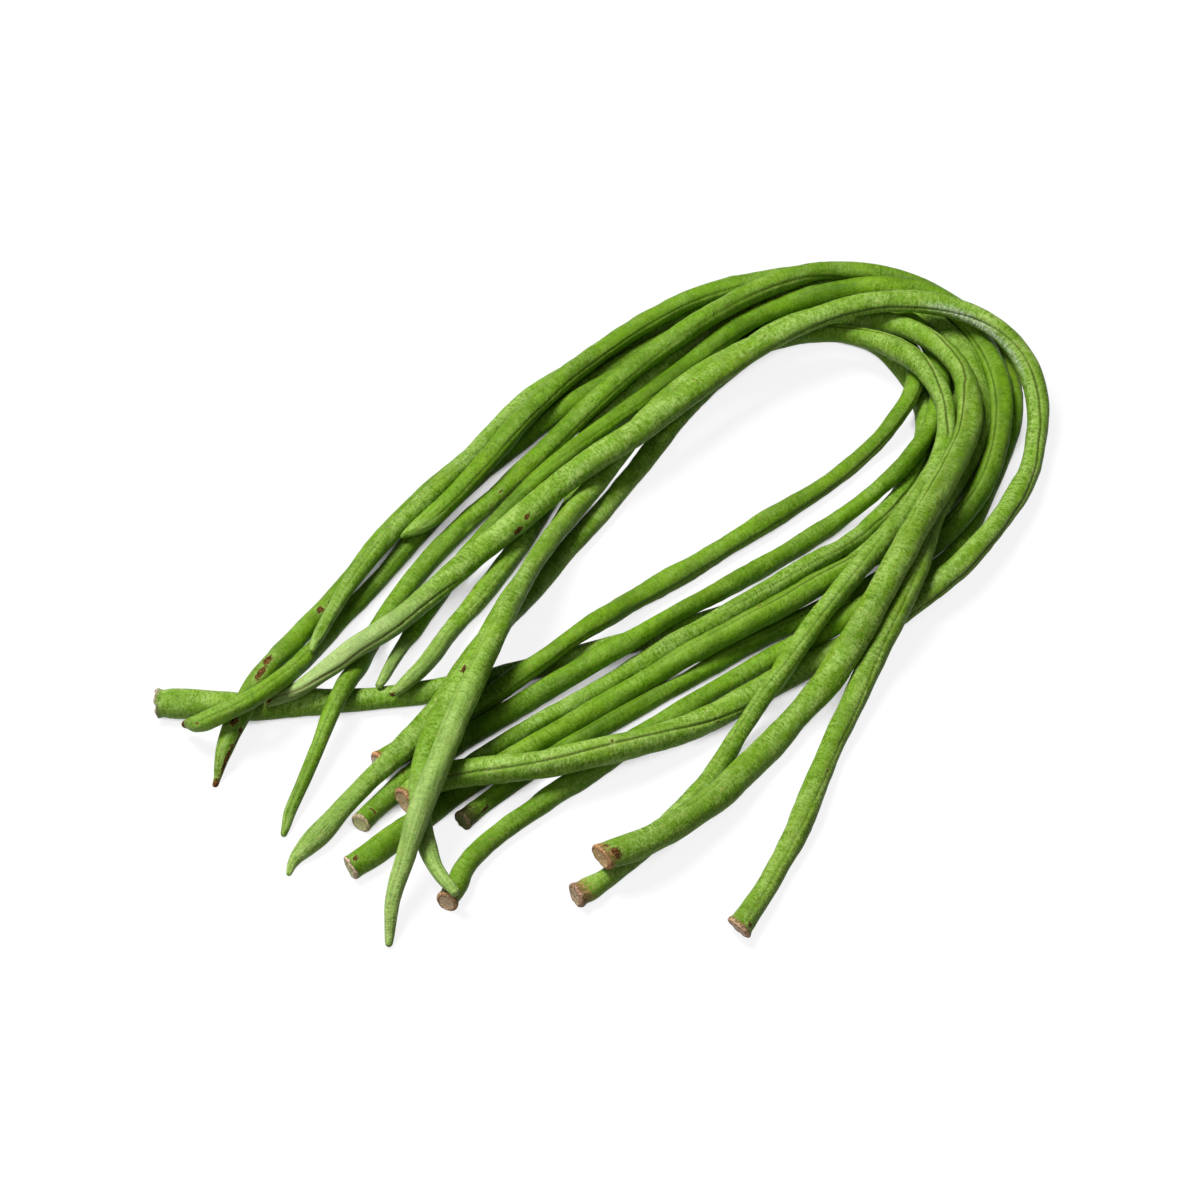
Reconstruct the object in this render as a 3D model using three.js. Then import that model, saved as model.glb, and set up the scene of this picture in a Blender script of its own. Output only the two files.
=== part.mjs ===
// A bunch of yardlong beans: eleven long thin pods folded together into a U and laid down.
// Millimetres, +Z up, resting on z = 0. The cut stem ends and the tips are at -X, the fold at +X.
import * as THREE from "three";

// Shape of a pod
const SIDES = 10;
const FLAT = Math.cos(Math.PI / SIDES); // half height of a section that lies on one of its flats
const STEM_SHARE = 0.12; // share of the length over which the stem end slims to the body
const TAPER_SHARE = 0.68; // share of the length where the body starts to slim to the tip
const BEAK_ROUNDING = 0.85; // how far the beak closes before its blunt point
const POINT_LENGTH = 0.6;

// How the bunch is laid
const STEP = 11; // spacing of the beads that stand for a pod, and of its rings
const CLEARANCE = 0.4; // kept between two pods
const ROUNDS = 500;
const SWELL_ROUNDS = 160; // rounds over which the pods grow to their full thickness
const FREE_ROUNDS = 40; // last rounds, with nothing drawing a pod back to its place
const START_SWELL = 0.4;
const HOLD = 0.15; // pull of a bead towards the place it was laid
const SAG = 0.03; // weight, as a drop per round
const STIFFNESS = 0.1;
const STRAIGHTENING = 0.004;
const STRETCH_REPAIR = 0.25;
const CONTACT_PASSES = 5;
const PAIR_REACH = 27; // stretches starting further apart than this can't touch before the next search
const PAIR_SEARCH_EVERY = 8;
const SAME_WAY = 1; // below this two stretches count as side by side

// Each pod: its thickness at the stem end, along the body and just before the beak, the length of
// the beak, and the places its centreline passes, from the cut stem end round the fold to the tip.
const PODS = [
  {
    name: "pod_01", stem: 9.6, body: 7.6, tip: 6.8, beak: 15, color: 0x86a945,
    route: [
      [-152, 38, 5], [-121, 21, 4], [-83, 3, 4], [-43, -9, 4], [-7, -15, 4], [28, -22, 4],
      [70, -24, 4], [109, -16, 6], [141, 5, 4], [164, 33, 4], [172, 55, 4], [170, 76, 4],
      [160, 95, 4], [141, 106, 4], [110, 111, 4], [74, 110, 4], [33, 102, 6], [-6, 82, 10],
      [-38, 68, 10], [-70, 52, 10], [-86, 40, 11], [-101, 26, 13],
    ],
  },
  {
    name: "pod_02", stem: 8.4, body: 7.6, tip: 7.4, beak: 14, color: 0x7fa63c,
    route: [
      [-100, -19, 4], [-64, -15, 5], [-44, -15, 9], [-24, -12, 12], [10, -2, 4], [51, 4, 4],
      [87, 10, 4], [123, 19, 4], [140, 28, 8], [155, 44, 11], [160, 62, 6], [158, 78, 4],
      [148, 92, 4], [127, 101, 4], [91, 104, 4], [50, 97, 4], [14, 92, 4], [-21, 82, 4],
      [-59, 65, 4], [-89, 46, 5], [-107, 33, 8], [-123, 21, 13], [-141, 10, 7], [-149, 1, 3],
    ],
  },
  {
    name: "pod_03", stem: 8.8, body: 8, tip: 7.2, beak: 14, color: 0x8fb04e,
    route: [
      [-114, -40, 4], [-79, -29, 4], [-43, -23, 4], [-2, -21, 10], [33, -15, 8], [68, -9, 4],
      [103, -3, 6], [123, 2, 9], [141, 14, 11], [157, 33, 11], [163, 49, 11], [154, 72, 10],
      [145, 85, 8], [127, 92, 5], [90, 96, 4], [48, 91, 8], [14, 85, 6], [-19, 75, 4], [-51, 59, 4],
      [-88, 39, 5], [-102, 29, 10], [-117, 17, 17], [-131, 14, 14], [-149, 23, 6],
    ],
  },
  {
    name: "pod_04", stem: 7.6, body: 7.2, tip: 6.2, beak: 15, color: 0x83a947,
    route: [
      [-86, -38, 4], [-51, -32, 4], [-8, -27, 4], [27, -27, 10], [62, -23, 11], [97, -12, 4],
      [116, -5, 4], [132, 7, 4], [145, 23, 4], [152, 40, 4], [152, 55, 4], [149, 70, 4],
      [137, 83, 4], [112, 90, 4], [78, 84, 4], [44, 71, 4], [10, 48, 5], [-20, 25, 12],
      [-47, 0, 19], [-62, -13, 21], [-84, -31, 21], [-98, -46, 17], [-103, -58, 12],
      [-105, -70, 10], [-104, -83, 10],
    ],
  },
  {
    name: "pod_05", stem: 8.8, body: 7.6, tip: 8.2, beak: 10, color: 0x8db353,
    route: [
      [-126, -53, 4], [-90, -49, 4], [-48, -39, 4], [-5, -34, 4], [28, -37, 12], [63, -31, 11],
      [103, -26, 8], [124, -18, 5], [144, -8, 4], [158, 6, 4], [168, 20, 4], [176, 38, 4],
      [178, 54, 4], [177, 73, 9], [167, 87, 11], [150, 99, 12], [129, 107, 12], [94, 111, 12],
      [58, 105, 11], [19, 89, 15], [-15, 72, 12], [-36, 62, 11], [-49, 59, 10],
    ],
  },
  {
    name: "pod_06", stem: 7.6, body: 8, tip: 6, beak: 17, color: 0x7b9f3f,
    route: [
      [-87, -48, 4], [-49, -46, 4], [-7, -43, 4], [35, -37, 4], [70, -38, 4], [104, -36, 5],
      [121, -34, 10], [138, -22, 12], [154, -9, 12], [170, 9, 12], [178, 26, 13], [180, 44, 14],
      [175, 60, 16], [163, 72, 19], [147, 83, 16], [127, 90, 13], [105, 88, 13], [84, 82, 13],
      [49, 73, 11], [14, 62, 12], [-23, 50, 4], [-60, 28, 4], [-76, 15, 6], [-86, 5, 9],
    ],
  },
  {
    name: "pod_07", stem: 8, body: 7.8, tip: 6.2, beak: 19, color: 0x7aa237,
    route: [
      [-104, -79, 4], [-90, -69, 4], [-73, -62, 4], [-31, -56, 4], [4, -51, 4], [45, -47, 4],
      [62, -50, 9], [81, -49, 9], [92, -46, 7], [104, -42, 5], [119, -36, 4], [133, -27, 4],
      [146, -19, 4], [158, -9, 4], [168, 1, 5], [176, 12, 7], [182, 26, 8], [185, 45, 10],
      [181, 65, 14], [168, 80, 16], [152, 90, 18], [130, 96, 19], [92, 92, 20], [58, 86, 15],
      [20, 75, 7], [-12, 65, 4], [-50, 47, 4], [-69, 35, 4], [-80, 26, 4], [-111, -3, 7],
      [-138, -29, 3],
    ],
  },
  {
    name: "pod_08", stem: 9.6, body: 9.2, tip: 7.8, beak: 20, color: 0x9dbb68,
    route: [
      [-102, -43, 9], [-90, -44, 13], [-67, -52, 14], [-32, -59, 12], [4, -60, 5], [45, -56, 5],
      [80, -52, 7], [100, -49, 9], [116, -44, 9], [134, -38, 9], [151, -27, 8], [168, -14, 6],
      [178, -3, 9], [184, 8, 13], [186, 20, 18], [183, 33, 22], [174, 48, 24], [160, 58, 26],
      [143, 66, 25], [126, 70, 23], [91, 67, 21], [56, 58, 21], [23, 50, 18], [-12, 44, 13],
      [-51, 32, 11], [-86, 17, 14], [-105, 13, 13], [-122, 13, 10],
    ],
  },
  {
    name: "pod_09", stem: 8, body: 7.6, tip: 8.2, beak: 24, color: 0x94b65a,
    route: [
      [-69, -98, 4], [-52, -97, 4], [-34, -91, 4], [5, -73, 5], [35, -57, 13], [66, -41, 15],
      [98, -27, 17], [119, -15, 15], [135, -3, 14], [146, 11, 18], [149, 25, 19], [147, 44, 17],
      [141, 61, 14], [130, 72, 14], [107, 76, 15], [70, 70, 15], [37, 58, 13], [3, 38, 12],
      [-26, 14, 21], [-51, -11, 27], [-77, -33, 26], [-92, -46, 22], [-106, -59, 16],
      [-119, -71, 9], [-128, -84, 4],
    ],
  },
  {
    name: "pod_10", stem: 10, body: 9.6, tip: 9.2, beak: 14, color: 0x88ae42,
    route: [
      [-58, -95, 13], [-40, -97, 12], [-22, -94, 10], [12, -81, 5], [51, -65, 10], [78, -52, 22],
      [107, -33, 25], [138, -9, 21], [152, 5, 20], [160, 27, 19], [158, 45, 18], [151, 61, 16],
      [141, 74, 13], [123, 82, 11], [87, 78, 5], [50, 57, 5], [18, 40, 5], [-13, 24, 5],
      [-44, 4, 9], [-56, -5, 13], [-66, -11, 14], [-78, -19, 13], [-92, -25, 10], [-110, -30, 6],
      [-143, -44, 4],
    ],
  },
  {
    name: "pod_11", stem: 8.8, body: 8, tip: 7.6, beak: 15, color: 0x84ad3d,
    route: [
      [-31, -135, 4], [0, -116, 4], [29, -92, 4], [62, -67, 8], [88, -51, 20], [114, -30, 15],
      [134, -16, 13], [149, -3, 12], [161, 12, 11], [169, 27, 10], [172, 43, 10], [169, 62, 11],
      [160, 78, 11], [148, 90, 12], [133, 97, 12], [113, 98, 12], [73, 87, 9], [41, 80, 5],
      [11, 58, 4], [-23, 34, 4], [-55, 15, 5], [-71, 3, 8], [-84, -2, 10],
    ],
  },
];

// Half thickness of a pod at a distance along it
function radiusAt(pod, along, length) {
  const share = along / length;
  const stem = THREE.MathUtils.smoothstep(share, 0, STEM_SHARE);
  const taper = THREE.MathUtils.clamp((share - TAPER_SHARE) / (1 - TAPER_SHARE), 0, 1);
  const rear = THREE.MathUtils.lerp(pod.stem, pod.body, stem);
  const plain = THREE.MathUtils.lerp(rear, pod.tip, taper) / 2;
  const beak = Math.max(0, 1 - (length - along) / pod.beak);
  return plain * Math.sqrt(1 - BEAK_ROUNDING * beak * beak);
}

// A pod as a chain of beads, evenly spaced along a smooth curve through its route
function layPod(pod) {
  const curve = new THREE.CatmullRomCurve3(pod.route.map((place) => new THREE.Vector3(...place)));
  const length = curve.getLength();
  const count = Math.round(length / STEP);
  const chain = [];
  for (let i = 0; i <= count; i++) {
    const at = curve.getPointAt(i / count);
    const radius = radiusAt(pod, (length * i) / count, length);
    chain.push({ at, home: at.clone(), radius });
  }
  return chain;
}

// The stretches between the beads of a chain
function stretchesOf(chain) {
  return chain.slice(1).map((to, i) => ({ from: chain[i], to, chain }));
}

// Stretches of different pods near enough to touch
function closePairs(stretches) {
  const pairs = [];
  stretches.forEach((one, i) => {
    for (const other of stretches.slice(i + 1)) {
      if (other.chain === one.chain) continue;
      if (Math.abs(other.from.at.x - one.from.at.x) > PAIR_REACH) continue;
      if (other.from.at.distanceTo(one.from.at) < PAIR_REACH) pairs.push([one, other]);
    }
  });
  return pairs;
}

// Shares along two stretches at which they are nearest to each other
const along = new THREE.Vector3();
const otherAlong = new THREE.Vector3();
const away = new THREE.Vector3();
function nearestShares(one, other) {
  along.subVectors(one.to.at, one.from.at);
  otherAlong.subVectors(other.to.at, other.from.at);
  away.subVectors(one.from.at, other.from.at);
  const a = along.lengthSq();
  const b = along.dot(otherAlong);
  const c = along.dot(away);
  const e = otherAlong.lengthSq();
  const f = otherAlong.dot(away);
  const skew = a * e - b * b;
  const share = skew > SAME_WAY ? THREE.MathUtils.clamp((b * f - c * e) / skew, 0, 1) : 0;
  const otherShare = (b * share + f) / e;
  if (otherShare < 0) return [THREE.MathUtils.clamp(-c / a, 0, 1), 0];
  if (otherShare > 1) return [THREE.MathUtils.clamp((b - c) / a, 0, 1), 1];
  return [share, otherShare];
}

// Moves two stretches apart until they only touch
function pushApart(one, other, swell) {
  const [s, t] = nearestShares(one, other);
  away.addScaledVector(along, s).addScaledVector(otherAlong, -t);
  const distance = away.length();
  const thickness = THREE.MathUtils.lerp(one.from.radius, one.to.radius, s);
  const otherThickness = THREE.MathUtils.lerp(other.from.radius, other.to.radius, t);
  const overlap = (thickness + otherThickness + CLEARANCE) * swell - distance;
  if (overlap <= 0) return;
  away.multiplyScalar((0.5 * overlap) / distance);
  one.from.at.addScaledVector(away, 1 - s);
  one.to.at.addScaledVector(away, s);
  other.from.at.addScaledVector(away, t - 1);
  other.to.at.addScaledVector(away, -t);
}

// Springs a chain back towards an even curve and an even spacing
const wanted = new THREE.Vector3();
function straighten(chain) {
  for (let i = 2; i < chain.length - 2; i++) {
    wanted.copy(chain[i - 1].at).add(chain[i + 1].at).multiplyScalar(4);
    wanted.sub(chain[i - 2].at).sub(chain[i + 2].at).divideScalar(6);
    chain[i].at.lerp(wanted, STIFFNESS);
  }
  for (let i = 1; i < chain.length - 1; i++) {
    wanted.copy(chain[i - 1].at).add(chain[i + 1].at).divideScalar(2);
    chain[i].at.lerp(wanted, STRAIGHTENING);
    const length = along.subVectors(chain[i].at, chain[i - 1].at).length();
    along.multiplyScalar((STRETCH_REPAIR * (length - STEP)) / length);
    chain[i - 1].at.addScaledVector(along, 0.5);
    chain[i].at.addScaledVector(along, -0.5);
  }
}

// Lets the laid pods swell, sag and push each other apart until each rests on what is under it
function settle(chains) {
  const beads = chains.flat();
  const stretches = chains.flatMap(stretchesOf);
  let pairs = [];
  for (let round = 0; round < ROUNDS; round++) {
    if (round % PAIR_SEARCH_EVERY === 0) pairs = closePairs(stretches);
    const swell = THREE.MathUtils.lerp(START_SWELL, 1, Math.min(1, round / SWELL_ROUNDS));
    const held = round < ROUNDS - FREE_ROUNDS;
    for (const bead of beads) {
      if (held) bead.at.lerp(bead.home, HOLD);
      if (held) bead.at.z -= SAG;
    }
    chains.forEach(straighten);
    for (let pass = 0; pass < CONTACT_PASSES; pass++) {
      for (const [one, other] of pairs) pushApart(one, other, swell);
      for (const bead of beads) bead.at.z = Math.max(bead.at.z, bead.radius * FLAT);
    }
  }
}

// A ring of corners round a bead, level across, with one flat facing down
function ringAt(chain, i) {
  const before = chain[Math.max(i - 1, 0)].at;
  const after = chain[Math.min(i + 1, chain.length - 1)].at;
  const ahead = new THREE.Vector3().subVectors(after, before).normalize();
  const side = new THREE.Vector3(0, 0, 1).cross(ahead).normalize();
  const up = new THREE.Vector3().crossVectors(ahead, side);
  const corners = [];
  for (let k = 0; k < SIDES; k++) {
    const angle = (2 * Math.PI * (k + 0.5)) / SIDES - Math.PI / 2;
    const corner = chain[i].at.clone();
    corner.addScaledVector(side, chain[i].radius * Math.cos(angle));
    corner.addScaledVector(up, chain[i].radius * Math.sin(angle));
    corners.push(corner);
  }
  return { corners, ahead };
}

// The closed skin of a pod: a flat cut stem end, rings along the body and a blunt point
function podGeometry(chain) {
  const rings = chain.map((bead, i) => ringAt(chain, i));
  const points = rings.flatMap((ring) => ring.corners);
  const stemCentre = points.push(chain[0].at) - 1;
  const pointPlace = chain.at(-1).at.clone().addScaledVector(rings.at(-1).ahead, POINT_LENGTH);
  const tipPoint = points.push(pointPlace) - 1;
  const faces = [];
  const lastRing = (rings.length - 1) * SIDES;
  for (let k = 0; k < SIDES; k++) {
    const next = (k + 1) % SIDES;
    for (let row = 0; row < lastRing; row += SIDES) {
      faces.push(row + k, row + next, row + SIDES + next);
      faces.push(row + k, row + SIDES + next, row + SIDES + k);
    }
    faces.push(stemCentre, next, k);
    faces.push(tipPoint, lastRing + k, lastRing + next);
  }
  const geometry = new THREE.BufferGeometry().setFromPoints(points);
  geometry.setIndex(faces);
  geometry.computeVertexNormals();
  return geometry;
}

function makePod(pod, chain) {
  const material = new THREE.MeshStandardMaterial({ color: pod.color, roughness: 0.5, metalness: 0 });
  const mesh = new THREE.Mesh(podGeometry(chain), material);
  mesh.name = pod.name;
  return mesh;
}

const bunch = new THREE.Group();
const chains = PODS.map(layPod);
settle(chains);
PODS.forEach((pod, i) => bunch.add(makePod(pod, chains[i])));

// The origin is under the middle of the bunch, on the surface it lies on
const bounds = new THREE.Box3().setFromObject(bunch);
const middle = bounds.getCenter(new THREE.Vector3());
bunch.position.set(-middle.x, -middle.y, -bounds.min.z);

export default bunch;
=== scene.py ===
"""Yardlong bean bunch: eleven long green pods laid side by side and folded over once, lying on a table.

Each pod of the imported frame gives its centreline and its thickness. The skin built over it adds what a real
pod has: the suture that winds along it, seed swellings, a corky cut at the stem end, a hooked beak at the
tip, scars, and a wrinkled, mottled surface. Lengths inside this file are in millimetres until the mesh is
written, and "share" is how far along a pod a place lies, from 0 at the stem end to 1 at the tip.
"""
import math

import bpy
import numpy as np
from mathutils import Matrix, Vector


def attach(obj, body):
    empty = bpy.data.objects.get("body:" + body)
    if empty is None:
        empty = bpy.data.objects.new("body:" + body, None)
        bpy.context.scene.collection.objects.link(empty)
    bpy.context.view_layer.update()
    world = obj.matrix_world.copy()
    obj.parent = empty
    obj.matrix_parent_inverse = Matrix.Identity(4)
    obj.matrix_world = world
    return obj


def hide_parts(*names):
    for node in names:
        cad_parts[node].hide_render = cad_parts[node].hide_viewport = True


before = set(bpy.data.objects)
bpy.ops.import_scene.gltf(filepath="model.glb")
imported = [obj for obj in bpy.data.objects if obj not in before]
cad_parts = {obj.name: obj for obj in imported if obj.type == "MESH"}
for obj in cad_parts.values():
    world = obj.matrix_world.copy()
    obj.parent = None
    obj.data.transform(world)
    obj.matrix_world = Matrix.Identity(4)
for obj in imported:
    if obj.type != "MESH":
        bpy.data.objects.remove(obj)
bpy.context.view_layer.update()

MM = 0.001

# ---- camera ----

CAMERA_AZIMUTH = -30.0
CAMERA_ELEVATION = 49.0
CAMERA_DISTANCE = 0.97
CAMERA_AIM = Vector((-0.0177, 0.0111, 0.008))
CAMERA_LENS = 85.0
CAMERA_SENSOR = 36.0
CAMERA_SHIFT = -10 / 1200       # of the picture's width


def direction(azimuth, elevation):
    """Unit vector from the object towards a viewer at these angles, in degrees."""
    a, e = math.radians(azimuth), math.radians(elevation)
    return Vector((math.sin(a) * math.cos(e), -math.cos(a) * math.cos(e), math.sin(e)))


def place(thing, aim, azimuth, elevation, distance):
    """Put a camera or a lamp in the scene, turned to the aim from these angles."""
    bpy.context.scene.collection.objects.link(thing)
    back = direction(azimuth, elevation)
    thing.location = aim + back * distance
    thing.rotation_mode = "QUATERNION"
    thing.rotation_quaternion = (-back).to_track_quat("-Z", "Y")


def make_camera():
    data = bpy.data.cameras.new("camera")
    data.lens = CAMERA_LENS
    data.sensor_width = CAMERA_SENSOR
    data.shift_x = CAMERA_SHIFT
    data.clip_start = 0.05
    data.clip_end = 50.0
    camera = bpy.data.objects.new("camera", data)
    place(camera, CAMERA_AIM, CAMERA_AZIMUTH, CAMERA_ELEVATION, CAMERA_DISTANCE)
    bpy.context.scene.camera = camera


make_camera()

# ---- the pods, one by one ----
#
# A place across a pod is given by its offset as the viewer sees it: 0 is the middle of the side towards the
# viewer, +1 its left edge going from stem to tip, -1 its right edge, and 2 or -2 the far side.
#
# body: (millimetres from the stem end, shift to the left, thickness). tip: the same, measured from the tip.
# creases: paths of (share, offset, strength). The first is the pod's suture, whose twin runs opposite it.
# dark_side: which side of the suture has the darker olive lobe, its own tone with painted shade, +1 left, -1
# right, 0 neither.
# shade: path of one more band of painted shade, a broad one.
# scars: (share, offset, length, width, depth of colour), in millimetres along and across.
# wax: patches of painted highlight, nearly white, on waxy skin, given like the scars.
# reach: how far the stem end stands out beyond the CAD's. knob: how much thicker its rim is.
# cut_tilt: how far the cut face is turned, (towards the viewer, to the left), as a slope.
# ragged: how uneven the cut is.
# face, rim, mark: colours of the cut's face, the cork round it and the stain behind it. stain: its length.
# bloom: how much of the pale whitish waxy coat, with painted sheen and highlight, the skin carries. deep: how
# dark its green is, its own tone with painted shade on pods that lie low in the bunch. bumps: how much the
# seeds swell it. blanch: how pale the tip is, over the length paling.
# shade, scars, wax, blanch and paling may be left out.

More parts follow.
